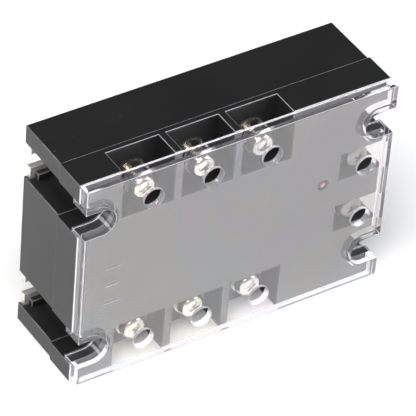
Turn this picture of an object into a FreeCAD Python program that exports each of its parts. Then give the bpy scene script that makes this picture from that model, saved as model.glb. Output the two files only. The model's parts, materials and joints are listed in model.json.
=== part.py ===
import FreeCAD, Part
import math
import os
import re
import Sketcher

# Three-phase solid state relay for panel mounting, in millimetres.
#
# The origin is the centre of the mounting face, the back of the base plate. +X runs along the
# long side towards the control input, +Z is up on a vertical panel, and the relay stands out
# from the panel towards -Y. "Depth" is the distance in front of the mounting face, so a point
# at depth d has y = -d. Line terminals are on the upper long side, load terminals on the lower.

SIZES = {
    # overall
    "length": 104,
    "width": 73.5,
    "housing_depth": 30.4,
    # base plate, set in the back of the housing, and its mounting slots
    "plate_thickness": 2,
    "plate_proud": 0.2,
    "plate_fit": 0.1,
    "skirt_inset": 1.3,
    "mount_end_inset": 5.5,
    "mount_side_inset": 12.75,
    "mount_slot_width": 4.8,
    # housing: a rear tub and a slightly larger terminal frame in front of it
    "wall": 2,
    "tier_step": 0.35,
    "ledge_thickness": 2,
    "ledge_setback": 1.6,
    "end_slot_width": 12.3,
    "frame_front_wall": 2,
    "frame_floor": 1.9,
    # power terminal bays
    "terminal_pitch": 19.8,
    "middle_terminal_x": -9.9,
    "terminal_inset": 10.35,
    "bay_rib": 2.4,
    "bay_depth": 9,
    "bay_length": 16.45,
    # control input bays
    "input_inset": 8.2,
    "input_row": 9.8,
    "input_bay_width": 9.9,
    "input_bay_length": 15.6,
    # terminal posts
    "post_diameter": 9.4,
    "input_post_diameter": 8,
    "post_rise": 0.6,
    "post_fit": 0.1,
    "foot_side": 11,
    "foot_thickness": 1,
    "post_hole_depth": 11.1,
    "input_post_hole_depth": 7,
    # M4 screws, flat washers and split lock washers
    "thread_diameter": 4,
    "thread_fit": 0.05,
    "thread_rise": 0.7,
    "turns_to_seat": 3,
    "seat_gap": 0.1,
    "washer_diameter": 9,
    "washer_fit": 0.15,
    "washer_thickness": 0.8,
    "lock_diameter": 7.3,
    "lock_thickness": 1,
    "lock_split": 0.9,
    "head_diameter": 8,
    "head_height": 3.1,
    "head_round": 1.7,
    "recess_span": 5.2,
    "recess_width": 1.05,
    "recess_depth": 1.8,
    "screw_length": 12,
    "input_screw_length": 8,
    "point_chamfer": 0.6,
    # clear cover
    "cover_gap": 0.05,
    "cover_depth": 4.1,
    "cover_wall": 1.5,
    "cover_plate": 2.2,
    "guard_wall": 1.45,
    "guard_fit": 0.15,
    "guard_reach": 3,
    "access_diameter": 6.5,
    # generic mark moulded in the cover: three bars in a column
    "mark_end_inset": 10.2,
    "mark_pitch": 6.5,
    "mark_length": 4.6,
    "mark_width": 1.2,
    "mark_depth": 0.3,
    # indicator
    "led_end_inset": 21,
    "led_z": 5.4,
    "led_diameter": 3.5,
    "led_fit": 0.1,
    "led_body": 3.4,
    "led_flange": 0.8,
    "led_flange_diameter": 4.3,
    "led_lead": 0.5,
    "led_lead_gap": 2.54,
    # power stage: ceramic substrates, thyristor chips and their copper clips
    "substrate_gap": 1.1,
    "substrate_spacing": 4.8,
    "substrate_thickness": 1,
    "substrate_margin": 1,
    "chip_side": 9,
    "chip_thickness": 0.4,
    "chip_row": 8,
    "clip_width": 5,
    "clip_thickness": 0.6,
    "clip_length": 15,
    "clip_foot": 2,
    "clip_start": 4,
    "gate_offset": 3.4,
    "gate_pin_diameter": 0.8,
    "gel_depth": 8,
    # control board and what stands on it
    "board_depth": 13,
    "board_thickness": 1.6,
    "board_fit": 0.35,
    "board_left_inset": 16,
    "board_right_inset": 3,
    "driver_length": 9,
    "driver_width": 6.4,
    "driver_height": 3.5,
    "driver_z": -10,
    "resistor_diameter": 4,
    "resistor_length": 11,
    "resistor_z": -2,
    "capacitor_length": 13,
    "capacitor_width": 6,
    "capacitor_height": 11,
    "capacitor_z": 8.5,
    "regulator_end_inset": 26,
    "regulator_z": -6,
    "regulator_side": 5,
}

PHASES = (1, 2, 3)
ROWS = {"line": 1, "load": -1}
INPUTS = {1: 1, 2: -1}
ENDS = ((1, 1), (1, -1), (-1, 1), (-1, -1))
PAST = "1"  # how far a cut runs past the face it opens

# Places and depths that follow from the sizes, as expressions
MOUNT_X = "(length / 2 - mount_end_inset)"
MOUNT_Z = "(width / 2 - mount_side_inset)"
END_SLOT_INNER = f"({MOUNT_X} - end_slot_width / 2)"
LAND_HALF = f"({MOUNT_Z} - end_slot_width / 2 - wall)"
PHASE_X = "(middle_terminal_x + ({0} - 2) * terminal_pitch)"
TERMINAL_Z = "(width / 2 - terminal_inset)"
BAY_WIDTH = "(terminal_pitch - bay_rib)"
BAY_FLOOR = "(housing_depth - bay_depth)"
SEAM = f"({BAY_FLOOR} - frame_floor)"
INPUT_X = "(length / 2 - input_inset)"
POST_TOP = f"({BAY_FLOOR} + post_rise)"
WASHER_HOLE = "(thread_diameter + 2 * washer_fit)"
WASHER_SEAT = f"({POST_TOP} + turns_to_seat * thread_rise + seat_gap)"
LOCK_SEAT = f"({WASHER_SEAT} + washer_thickness)"
HEAD_SEAT = f"({LOCK_SEAT} + lock_thickness)"
HEAD_TOP = f"({HEAD_SEAT} + head_height)"
COVER_BACK = "(housing_depth + cover_gap)"
COVER_FRONT = "(housing_depth + cover_depth)"
GUARD_WIDTH = "(end_slot_width - 2 * guard_fit)"
NOTCH_WIDTH = f"({GUARD_WIDTH} - 2 * guard_wall)"
LED_X = "(length / 2 - led_end_inset)"
SUBSTRATE_TOP = "(plate_thickness + substrate_thickness)"
TUB_ROOM = f"({END_SLOT_INNER} - wall + middle_terminal_x - terminal_pitch - substrate_gap)"
SUBSTRATE_WIDTH = f"min(2 * {TUB_ROOM}; terminal_pitch - substrate_spacing)"
CHIP_TOP = f"({SUBSTRATE_TOP} + chip_thickness)"
BOARD_TOP = "(board_depth + board_thickness)"
BOARD_LEFT = "(board_left_inset - length / 2)"
BOARD_RIGHT = "(length / 2 - board_right_inset)"

doc = FreeCAD.newDocument("solid_state_relay")
sheet = doc.addObject("Spreadsheet::Sheet", "Sizes")
for row, (alias, value) in enumerate(SIZES.items(), start=1):
    sheet.set(f"A{row}", alias)
    sheet.set(f"B{row}", str(value))
    sheet.setAlias(f"B{row}", alias)
doc.recompute()

sub_parts = {}


def bound(text):
    """The expression in text, with each size read from the sheet."""
    return re.sub(r"\b[a-z][a-z_]*\b(?!\()", lambda word: "Sizes." + word.group(), text)


def value_of(text):
    return float(sheet.evalExpression(bound(text)))


def keep(label, item):
    item.Label = label
    sub_parts[label] = item
    return item


def group(label, pieces):
    """Several like pieces that share one node as separate solids."""
    compound = doc.addObject("Part::Compound", label)
    compound.Links = pieces
    return keep(label, compound)


# ---- sketches parallel to the mounting face, at a depth in front of it ----


class Outline:
    """A sketch in a body at a depth: sketch x is +X, sketch y is +Z, and it faces -Y."""

    def __init__(self, body, name, depth):
        self.body = body
        self.sketch = body.newObject("Sketcher::SketchObject", name)
        front = [f for f in body.Origin.OriginFeatures if f.Role == "XZ_Plane"][0]
        self.sketch.AttachmentSupport = [(front, "")]
        self.sketch.MapMode = "FlatFace"
        self.sketch.setExpression("AttachmentOffset.Base.z", bound(depth))

    def rule(self, *terms):
        return self.sketch.addConstraint(Sketcher.Constraint(*terms))

    def size(self, kind, *terms):
        """A dimension whose last term is the expression that drives it."""
        index = self.rule(kind, *terms[:-1], value_of(terms[-1]))
        self.sketch.setExpression(f"Constraints[{index}]", bound(terms[-1]))

    def place(self, item, point, x, z):
        self.size("DistanceX", -1, 1, item, point, x)
        self.size("DistanceY", -1, 1, item, point, z)

    def line(self, start, end):
        ends = [FreeCAD.Vector(value_of(x), value_of(z), 0) for x, z in (start, end)]
        return self.sketch.addGeometry(Part.LineSegment(*ends), False)

    def rectangle(self, x_low, x_high, z_low, z_high):
        corners = [(x_low, z_low), (x_high, z_low), (x_high, z_high), (x_low, z_high)]
        sides = [self.line(corners[i], corners[(i + 1) % 4]) for i in range(4)]
        for i in range(4):
            self.rule("Coincident", sides[i], 2, sides[(i + 1) % 4], 1)
        for i in (0, 2):
            self.rule("Horizontal", sides[i])
            self.rule("Vertical", sides[i + 1])
        self.place(sides[0], 1, x_low, z_low)
        self.place(sides[2], 1, x_high, z_high)
        return self

    def circle(self, x, z, diameter):
        centre = FreeCAD.Vector(value_of(x), value_of(z), 0)
        normal = FreeCAD.Vector(0, 0, 1)
        item = self.sketch.addGeometry(
            Part.Circle(centre, normal, value_of(diameter) / 2), False
        )
        self.place(item, 3, x, z)
        self.size("Diameter", item, diameter)
        return self

    def end_slot(self, end, centre, z, width, open_x):
        """A slot with a round inner end at x = end * centre, open at x = end * open_x."""
        x = f"{end} * ({centre})"
        mouth = f"{end} * ({open_x})"
        side = [f"{z} + {end} * ({width}) / 2", f"{z} - {end} * ({width}) / 2"]
        first = self.line((x, side[0]), (mouth, side[0]))
        across = self.line((mouth, side[0]), (mouth, side[1]))
        last = self.line((mouth, side[1]), (x, side[1]))
        quarter = math.pi / 2
        middle = FreeCAD.Vector(value_of(x), value_of(z), 0)
        ring = Part.Circle(middle, FreeCAD.Vector(0, 0, 1), value_of(width) / 2)
        start = quarter * (2 - end)
        arc = self.sketch.addGeometry(
            Part.ArcOfCircle(ring, start, start + 2 * quarter), False
        )
        self.rule("Coincident", first, 2, across, 1)
        self.rule("Coincident", across, 2, last, 1)
        self.rule("Tangent", first, 1, arc, 1)
        self.rule("Tangent", last, 2, arc, 2)
        self.rule("Horizontal", first)
        self.rule("Vertical", across)
        self.place(arc, 3, x, z)
        self.size("DistanceX", -1, 1, first, 2, mouth)
        self.size("Diameter", arc, width)
        return self

    def pad(self, length):
        """Adds material from the sketch's depth forwards."""
        feature = self.body.newObject("PartDesign::Pad", self.sketch.Name + "_pad")
        feature.Profile = self.sketch
        feature.setExpression("Length", bound(length))
        self.sketch.Visibility = False
        return feature

    def cut(self, length, forwards=False):
        """Removes material from the sketch's depth backwards, or forwards."""
        feature = self.body.newObject("PartDesign::Pocket", self.sketch.Name + "_cut")
        feature.Profile = self.sketch
        feature.Reversed = forwards
        feature.setExpression("Length", bound(length))
        return feature


def new_body(label):
    return keep(label, doc.addObject("PartDesign::Body", label))


def move(item, x, z):
    item.setExpression("Placement.Base.x", bound(x))
    item.setExpression("Placement.Base.z", bound(z))


def block(name, x, z, depth, along_x, along_z, thickness):
    """A box centred on x and z, from a depth forwards."""
    box = doc.addObject("Part::Box", name)
    box.setExpression("Length", bound(along_x))
    box.setExpression("Width", bound(thickness))
    box.setExpression("Height", bound(along_z))
    box.setExpression("Placement.Base.x", bound(f"{x} - ({along_x}) / 2"))
    box.setExpression("Placement.Base.y", bound(f"-({depth}) - ({thickness})"))
    box.setExpression("Placement.Base.z", bound(f"{z} - ({along_z}) / 2"))
    return box


def rod(name, x, z, depth, diameter, length):
    """A cylinder with its axis along Y, from a depth forwards."""
    cylinder = doc.addObject("Part::Cylinder", name)
    cylinder.setExpression("Radius", bound(f"({diameter}) / 2"))
    cylinder.setExpression("Height", bound(length))
    cylinder.Placement.Rotation = FreeCAD.Rotation(FreeCAD.Vector(1, 0, 0), 90)
    cylinder.setExpression("Placement.Base.x", bound(x))
    cylinder.setExpression("Placement.Base.y", bound(f"-({depth})"))
    cylinder.setExpression("Placement.Base.z", bound(z))
    return cylinder


def joined(name, pieces):
    fuse = doc.addObject("Part::MultiFuse", name)
    fuse.Shapes = pieces
    return fuse


def phase_x(phase):
    return PHASE_X.format(phase)


def outer_box(outline, inset):
    half_x = f"(length / 2 - {inset})"
    half_z = f"(width / 2 - {inset})"
    return outline.rectangle("-" + half_x, half_x, "-" + half_z, half_z)


def four_slots(outline, width, past=PAST):
    """The four slots of the ends, each on its mounting screw's row and open past the end face."""
    for end, side in ENDS:
        outline.end_slot(end, MOUNT_X, f"{side} * {MOUNT_Z}", width, f"length / 2 + {past}")
    return outline


def terminal_circles(outline, power_diameter, input_diameter):
    """A circle on the axis of each of the eight terminal screws."""
    for side in ROWS.values():
        for phase in PHASES:
            outline.circle(phase_x(phase), f"{side} * {TERMINAL_Z}", power_diameter)
    for side in INPUTS.values():
        outline.circle(INPUT_X, f"{side} * input_row", input_diameter)
    return outline


# ---- the housing ----


def make_base_plate():
    body = new_body("base_plate")
    outline = outer_box(Outline(body, "plate_outline", "0"), "(skirt_inset + plate_fit)")
    outline.pad("plate_thickness")
    slots = Outline(body, "plate_slots", "plate_thickness")
    four_slots(slots, "mount_slot_width").cut(f"plate_thickness + {PAST}")


def make_rear_case():
    """The tub: a recess for the plate, wide slots in front of the ledges, narrower ones through.

    The ledges stop short of the plate's slots and ends, so the metal shows round each slot.
    """
    body = new_body("rear_case")
    outline = outer_box(Outline(body, "tub_outline", "plate_proud"), "tier_step")
    outline.pad(f"{SEAM} - plate_proud")
    recess = outer_box(Outline(body, "plate_recess", "plate_thickness"), "skirt_inset")
    recess.cut("plate_thickness")
    wide = four_slots(Outline(body, "tub_end_slots", SEAM), "end_slot_width")
    wide.cut(f"{SEAM} - plate_thickness - ledge_thickness")
    mouths = Outline(body, "slot_mouths", SEAM)
    for end, side in ENDS:
        inner = f"{end} * (length / 2 - skirt_inset - ledge_setback)"
        edges = [inner, f"{end} * (length / 2 + {PAST})"][::end]
        row = f"{side} * {MOUNT_Z}"
        mouths.rectangle(*edges, f"{row} - end_slot_width / 2", f"{row} + end_slot_width / 2")
    mouths.cut(SEAM)
    narrow = four_slots(
        Outline(body, "ledge_slots", "plate_thickness + ledge_thickness"),
        "(mount_slot_width + 2 * ledge_setback)",
    )
    narrow.cut(f"ledge_thickness + {PAST}")
    middle_x = f"({END_SLOT_INNER} - wall)"
    land_x = "(length / 2 - wall)"
    middle_z = "(width / 2 - wall)"
    for name, half_x, half_z in (("middle", middle_x, middle_z), ("lands", land_x, LAND_HALF)):
        cavity = Outline(body, f"tub_{name}", SEAM)
        cavity.rectangle(f"-{half_x}", half_x, f"-{half_z}", half_z).cut(SEAM)


def make_front_case():
    """The terminal frame: end slots, a hollow behind its front wall, open bays and their holes."""
    body = new_body("front_case")
    outline = outer_box(Outline(body, "frame_outline", SEAM), "0")
    outline.pad(f"housing_depth - {SEAM}")
    ends = Outline(body, "frame_end_slots", "housing_depth")
    four_slots(ends, "end_slot_width").cut(f"housing_depth - {SEAM} + {PAST}")
    hollow = Outline(body, "frame_hollow", SEAM)
    hollow.rectangle(
        "-(length / 2 - wall)", "length / 2 - input_bay_length - wall",
        f"-{LAND_HALF}", LAND_HALF,
    )
    hollow.cut(f"housing_depth - {SEAM} - frame_front_wall", forwards=True)
    bays = Outline(body, "power_bays", "housing_depth")
    for side in ROWS.values():
        edges = [f"{side} * (width / 2 - bay_length)", f"{side} * (width / 2 + {PAST})"][::side]
        for phase in PHASES:
            x = phase_x(phase)
            bays.rectangle(f"{x} - {BAY_WIDTH} / 2", f"{x} + {BAY_WIDTH} / 2", *edges)
    bays.cut("bay_depth")
    input_bays = Outline(body, "input_bays", "housing_depth")
    for side in INPUTS.values():
        row = f"{side} * input_row"
        input_bays.rectangle(
            "length / 2 - input_bay_length", f"length / 2 + {PAST}",
            f"{row} - input_bay_width / 2", f"{row} + input_bay_width / 2",
        )
    input_bays.cut("bay_depth")
    holes = Outline(body, "post_holes", BAY_FLOOR)
    terminal_circles(holes, "post_diameter + 2 * post_fit", "input_post_diameter + 2 * post_fit")
    holes.cut(f"frame_floor + {PAST}")
    window = Outline(body, "led_window", "housing_depth")
    window.circle(LED_X, "led_z", "led_diameter + 2 * led_fit").cut(f"frame_front_wall + {PAST}")


def make_clear_cover():
    """A shallow tray with guards that reach into the end slots, and eight screwdriver holes."""
    body = new_body("clear_cover")
    tray_depth = "cover_depth - cover_gap"
    outer_box(Outline(body, "cover_outline", COVER_BACK), "0").pad(tray_depth)
    hollow = outer_box(Outline(body, "cover_hollow", COVER_BACK), "cover_wall")
    hollow.cut(f"{tray_depth} - cover_plate", forwards=True)
    guard_back = "(housing_depth - guard_reach)"
    guards = four_slots(Outline(body, "notch_guards", guard_back), GUARD_WIDTH, "0")
    guards.pad("guard_reach + cover_depth - cover_plate / 2")
    notches = four_slots(Outline(body, "notches", COVER_FRONT), NOTCH_WIDTH)
    notches.cut(f"guard_reach + cover_depth + {PAST}")
    holes = Outline(body, "access_holes", COVER_FRONT)
    terminal_circles(holes, "access_diameter", "access_diameter").cut(f"cover_plate + {PAST}")
    mark = Outline(body, "mark", COVER_FRONT)
    for step in (-1, 0, 1):
        left = "mark_end_inset - length / 2 - mark_length / 2"
        low = f"{step} * mark_pitch - mark_width / 2"
        mark.rectangle(left, f"{left} + mark_length", low, f"{low} + mark_width")
    mark.cut("mark_depth")


# ---- terminals and their screws ----


def make_power_terminal(label, x, z):
    """A round tapped post that stands on a square foot soldered to the ceramic."""
    body = new_body(label)
    foot = Outline(body, label + "_foot", SUBSTRATE_TOP)
    foot.rectangle("-foot_side / 2", "foot_side / 2", "-foot_side / 2", "foot_side / 2")
    foot.pad("foot_thickness")
    post = Outline(body, label + "_post", SUBSTRATE_TOP).circle("0", "0", "post_diameter")
    post.pad(f"{POST_TOP} - {SUBSTRATE_TOP}")
    hole = Outline(body, label + "_thread", POST_TOP)
    hole.circle("0", "0", "thread_diameter + 2 * thread_fit").cut("post_hole_depth")
    move(body, x, z)


def make_input_terminal(label, x, z):
    """A shorter post that stands on the control board."""
    body = new_body(label)
    post = Outline(body, label + "_post", BOARD_TOP).circle("0", "0", "input_post_diameter")
    post.pad(f"{POST_TOP} - {BOARD_TOP}")
    hole = Outline(body, label + "_thread", POST_TOP)
    hole.circle("0", "0", "thread_diameter + 2 * thread_fit").cut("input_post_hole_depth")
    move(body, x, z)


def edges_at(feature, depth):
    """The circular edges of a feature that lie flat at a depth, by name."""
    names = []
    for index, edge in enumerate(feature.Shape.Edges, start=1):
        box = edge.BoundBox
        if abs(box.YMin + depth) < 1e-6 and abs(box.YMax + depth) < 1e-6:
            names.append(f"Edge{index}")
    return names


def make_screw(label, x, z, length):
    """A pan-head screw with a cross recess, its head above the lock washer."""
    body = new_body(label)
    head = Outline(body, label + "_head", HEAD_SEAT).circle("0", "0", "head_diameter")
    head_pad = head.pad("head_height")
    doc.recompute()
    crown = body.newObject("PartDesign::Fillet", label + "_crown")
    crown.Base = (head_pad, edges_at(head_pad, value_of(HEAD_TOP)))
    crown.setExpression("Radius", bound("head_round"))
    shank = Outline(body, label + "_shank", f"{HEAD_SEAT} - {length}")
    shank_pad = shank.circle("0", "0", "thread_diameter").pad(length)
    doc.recompute()
    point = body.newObject("PartDesign::Chamfer", label + "_point")
    point.Base = (shank_pad, edges_at(shank_pad, value_of(f"{HEAD_SEAT} - {length}")))
    point.setExpression("Size", bound("point_chamfer"))
    arms = (("level", "recess_span", "recess_width"), ("upright", "recess_width", "recess_span"))
    for name, across, up in arms:
        recess = Outline(body, f"{label}_{name}", HEAD_TOP)
        recess.rectangle(f"-{across} / 2", f"{across} / 2", f"-{up} / 2", f"{up} / 2")
        recess.cut("recess_depth")
    move(body, x, z)


def make_flat_washer(label, x, z):
    body = new_body(label)
    ring = Outline(body, label + "_ring", WASHER_SEAT)
    ring.circle("0", "0", "washer_diameter").circle("0", "0", WASHER_HOLE)
    ring.pad("washer_thickness")
    move(body, x, z)


def make_lock_washer(label, x, z):
    body = new_body(label)
    ring = Outline(body, label + "_ring", LOCK_SEAT)
    ring.circle("0", "0", "lock_diameter").circle("0", "0", WASHER_HOLE)
    ring.pad("lock_thickness")
    split = Outline(body, label + "_split", f"{LOCK_SEAT} + lock_thickness")
    split.rectangle("0", "lock_diameter", "-lock_split / 2", "lock_split / 2")
    split.cut("lock_thickness + " + PAST)
    move(body, x, z)


def make_terminals():
    for row, side in ROWS.items():
        for phase in PHASES:
            place = (phase_x(phase), f"{side} * {TERMINAL_Z}")
            make_power_terminal(f"{row}_terminal_{phase}", *place)
            make_flat_washer(f"{row}_flat_washer_{phase}", *place)
            make_lock_washer(f"{row}_lock_washer_{phase}", *place)
            make_screw(f"{row}_screw_{phase}", *place, "screw_length")
    for number, side in INPUTS.items():
        place = (INPUT_X, f"{side} * input_row")
        make_input_terminal(f"input_terminal_{number}", *place)
        make_flat_washer(f"input_flat_washer_{number}", *place)
        make_lock_washer(f"input_lock_washer_{number}", *place)
        make_screw(f"input_screw_{number}", *place, "input_screw_length")


# ---- what is sealed inside ----


def make_power_stage(phase):
    """A ceramic substrate with two thyristor chips in opposite directions, and their clips."""
    x = phase_x(phase)
    half = f"({TERMINAL_Z} + foot_side / 2 + substrate_margin)"
    substrate = block(
        f"power_substrate_{phase}", x, "0", "plate_thickness", SUBSTRATE_WIDTH, f"2 * {half}",
        "substrate_thickness"
    )
    keep(f"power_substrate_{phase}", substrate)
    chips = []
    clips = []
    pins = []
    for name, side in (("forward", 1), ("reverse", -1)):
        where = f"{side} * chip_row"
        chips.append(
            block(
                f"chip_{name}_{phase}", x, where, SUBSTRATE_TOP,
                "chip_side", "chip_side", "chip_thickness",
            )
        )
        strap_middle = f"{side} * (clip_start + clip_length / 2)"
        strap = block(
            f"strap_{name}_{phase}", x, strap_middle, CHIP_TOP, "clip_width", "clip_length",
            "clip_thickness"
        )
        foot_middle = f"{side} * (clip_start + clip_length - clip_foot / 2)"
        foot = block(
            f"clip_foot_{name}_{phase}", x, foot_middle, SUBSTRATE_TOP, "clip_width", "clip_foot",
            "chip_thickness"
        )
        clips.append(joined(f"clip_{name}_{phase}", [strap, foot]))
        pins.append(
            rod(
                f"gate_pin_{name}_{phase}", f"{x} + gate_offset", where, CHIP_TOP,
                "gate_pin_diameter", f"board_depth - {CHIP_TOP}"
            )
        )
    group(f"thyristors_{phase}", chips)
    group(f"chip_clips_{phase}", clips)
    return pins


def make_board_pieces(phase):
    x = phase_x(phase)
    driver = block(
        f"opto_driver_{phase}", x, "driver_z", BOARD_TOP, "driver_length", "driver_width",
        "driver_height"
    )
    keep(f"opto_driver_{phase}", driver)
    resistor = doc.addObject("Part::Cylinder", f"snubber_resistor_{phase}")
    resistor.setExpression("Radius", bound("resistor_diameter / 2"))
    resistor.setExpression("Height", bound("resistor_length"))
    resistor.Placement.Rotation = FreeCAD.Rotation(FreeCAD.Vector(0, 1, 0), 90)
    resistor.setExpression("Placement.Base.x", bound(f"{x} - resistor_length / 2"))
    resistor.setExpression("Placement.Base.y", bound(f"-{BOARD_TOP} - resistor_diameter / 2"))
    resistor.setExpression("Placement.Base.z", bound("resistor_z"))
    keep(f"snubber_resistor_{phase}", resistor)
    capacitor = block(
        f"snubber_capacitor_{phase}", x, "capacitor_z", BOARD_TOP, "capacitor_length",
        "capacitor_width", "capacitor_height"
    )
    keep(f"snubber_capacitor_{phase}", capacitor)


def make_status_led():
    """A round lamp, flush with the front of the terminal frame, on two leads."""
    dome_seat = "(housing_depth - led_diameter / 2)"
    body_back = f"({dome_seat} - led_body)"
    lamp = rod("led_barrel", LED_X, "led_z", body_back, "led_diameter", "led_body")
    flange = rod("led_rim", LED_X, "led_z", body_back, "led_flange_diameter", "led_flange")
    dome = doc.addObject("Part::Sphere", "led_dome")
    dome.setExpression("Radius", bound("led_diameter / 2"))
    dome.setExpression("Placement.Base.x", bound(LED_X))
    dome.setExpression("Placement.Base.y", bound(f"-{dome_seat}"))
    dome.setExpression("Placement.Base.z", bound("led_z"))
    leads = [
        block(
            f"led_lead_{number}", LED_X, f"led_z + {side} * led_lead_gap / 2", BOARD_TOP,
            "led_lead", "led_lead", f"{body_back} - {BOARD_TOP}"
        )
        for number, side in INPUTS.items()
    ]
    keep("status_led", joined("status_led", [lamp, flange, dome] + leads))


def make_control_board():
    board = block(
        "control_board", f"({BOARD_LEFT} + {BOARD_RIGHT}) / 2", "0", "board_depth",
        f"{BOARD_RIGHT} - {BOARD_LEFT}", f"2 * ({LAND_HALF} - board_fit)", "board_thickness"
    )
    keep("control_board", board)
    regulator = block(
        "input_regulator", "length / 2 - regulator_end_inset", "regulator_z", BOARD_TOP, "regulator_side",
        "regulator_side", "regulator_side"
    )
    keep("input_regulator", regulator)


def make_potting_gel(buried):
    """Gel that fills the tub round the power stage, up to its own depth."""
    cavity = f"2 * ({END_SLOT_INNER} - wall)"
    land = "length - 2 * wall"
    bulk = [
        block("gel_middle", "0", "0", "plate_thickness", cavity, "width - 2 * wall", "gel_depth"),
        block("gel_lands", "0", "0", "plate_thickness", land, f"2 * {LAND_HALF}", "gel_depth"),
    ]
    cores = [
        rod(f"gel_core_{row}_{phase}", phase_x(phase), f"{side} * {TERMINAL_Z}", SUBSTRATE_TOP,
            "post_diameter", "gel_depth")
        for row, side in ROWS.items()
        for phase in PHASES
    ]
    gel = doc.addObject("Part::Cut", "potting_gel")
    gel.Base = joined("gel_bulk", bulk)
    gel.Tool = joined("gel_buried", buried + cores)
    keep("potting_gel", gel)


def make_inside():
    pins = []
    for phase in PHASES:
        pins += make_power_stage(phase)
        make_board_pieces(phase)
    group("gate_pins", pins)
    make_control_board()
    make_status_led()
    kinds = ("line_terminal_", "load_terminal_", "power_substrate_", "thyristors_", "chip_clips_")
    buried = [item for label, item in sub_parts.items() if label.startswith(kinds)]
    make_potting_gel(buried + [sub_parts["gate_pins"]])


make_base_plate()
make_rear_case()
make_front_case()
make_clear_cover()
make_terminals()
make_inside()
doc.recompute()

faults = [item.Name for item in doc.Objects if {"Invalid", "Error"} & set(item.State)]
faults += [
    label for label, item in sub_parts.items() if item.Shape.isNull() or not item.Shape.isValid()
]
if faults:
    raise RuntimeError("failed: " + ", ".join(faults))

os.makedirs("parts", exist_ok=True)
for label, item in sub_parts.items():
    item.Shape.exportStep(f"parts/{label}.step")
    print(label, len(item.Shape.Solids), round(item.Shape.Volume, 2))
print(len(sub_parts), "nodes")
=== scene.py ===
# %% [markdown]
# # A three-phase solid state relay
#
# A solid state relay switches heavy mains loads without moving contacts. This one is a black
# two-part housing on a metal plate, with screw terminals in open bays and a clear cover over
# them. The engineering model is loaded first and stays fixed. Everything made here sits in its
# frame, in metres, with the mounting face at y = 0 and the cover facing -Y.
#
# Eight terminals repeat: three for the line, three for the load and two for the input. Each name
# in `TERMINALS` has a gap for what sits there: a screw, a washer or the terminal post itself.

# %% Load the engineering model
import json
import math

import bmesh
import bpy
from mathutils import Matrix, Vector

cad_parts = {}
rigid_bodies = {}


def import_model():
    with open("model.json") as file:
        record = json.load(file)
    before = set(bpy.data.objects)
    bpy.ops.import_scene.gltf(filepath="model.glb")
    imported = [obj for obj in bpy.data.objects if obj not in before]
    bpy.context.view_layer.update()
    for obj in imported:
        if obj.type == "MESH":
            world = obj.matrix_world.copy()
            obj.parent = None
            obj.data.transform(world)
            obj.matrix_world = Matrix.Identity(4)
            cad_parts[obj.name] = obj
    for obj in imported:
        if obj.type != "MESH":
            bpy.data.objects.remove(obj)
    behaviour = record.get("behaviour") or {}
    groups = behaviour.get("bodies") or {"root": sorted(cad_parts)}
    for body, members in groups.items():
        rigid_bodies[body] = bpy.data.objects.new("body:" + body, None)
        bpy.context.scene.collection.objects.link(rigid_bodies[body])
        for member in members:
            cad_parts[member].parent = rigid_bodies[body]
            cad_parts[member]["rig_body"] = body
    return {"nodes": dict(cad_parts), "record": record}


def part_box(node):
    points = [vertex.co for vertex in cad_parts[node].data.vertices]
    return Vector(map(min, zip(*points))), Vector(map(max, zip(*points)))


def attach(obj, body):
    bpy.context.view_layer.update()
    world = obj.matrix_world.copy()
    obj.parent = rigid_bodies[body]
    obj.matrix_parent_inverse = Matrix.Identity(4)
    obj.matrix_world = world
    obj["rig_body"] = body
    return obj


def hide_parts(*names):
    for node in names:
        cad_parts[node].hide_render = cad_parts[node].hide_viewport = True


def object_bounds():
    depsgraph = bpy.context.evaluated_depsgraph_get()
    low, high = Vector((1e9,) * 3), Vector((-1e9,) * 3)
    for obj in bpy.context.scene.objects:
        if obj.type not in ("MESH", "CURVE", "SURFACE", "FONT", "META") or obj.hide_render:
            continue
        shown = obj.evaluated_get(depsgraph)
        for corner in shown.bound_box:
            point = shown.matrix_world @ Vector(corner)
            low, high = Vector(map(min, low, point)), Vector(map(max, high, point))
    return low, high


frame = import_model()
CAD_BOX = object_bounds()
low, high = (Vector(corner) for corner in CAD_BOX)
TERMINALS = [f"{row}_{{}}_{n}" for row in ("line", "load") for n in (1, 2, 3)]
TERMINALS += [f"input_{{}}_{n}" for n in (1, 2)]


def middle_of(node):
    """The middle and the size of a node's box."""
    lowest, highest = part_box(node)
    return (lowest + highest) / 2, highest - lowest


print("frame of", len(frame["nodes"]), "nodes,", [round(v * 1000, 1) for v in high - low], "mm")

# %% [markdown]
# The camera stands back with a long lens, so that parallel edges stay nearly parallel, and it is
# tipped a few degrees about its own axis. Its place is given by the directions it looks in: an
# angle round the relay, an angle above the floor, a distance and the point it aims at.

# %% Camera
AROUND, ABOVE, TIP = math.radians(35.5), math.radians(40.16), math.radians(5.02)
AIM, AWAY, FOCAL_MM = Vector((-0.0083, -0.0304, 0.01148)), 1.052, 320.2

forward = Vector(
    (math.sin(AROUND) * math.cos(ABOVE), math.cos(AROUND) * math.cos(ABOVE), -math.sin(ABOVE))
)
level = forward.cross(Vector((0, 0, 1))).normalized()
right = level * math.cos(TIP) + level.cross(forward) * math.sin(TIP)
up = right.cross(forward)
camera = bpy.data.objects.new("camera", bpy.data.cameras.new("camera"))
camera.data.lens = FOCAL_MM
turning = Matrix((right, up, -forward)).transposed().to_4x4()
camera.matrix_world = Matrix.Translation(AIM - AWAY * forward) @ turning
bpy.context.scene.collection.objects.link(camera)
bpy.context.scene.camera = camera
print("camera", [round(v, 3) for v in camera.matrix_world.translation])

# %% [markdown]
# Node trees are easier to read as expressions. A `Wire` holds a socket, and Python's operators on
# it add Math nodes. A `Board` holds a tree and makes any node from its type, its settings and the
# values of its sockets. The same two classes serve the materials and the Geometry Nodes.


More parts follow.
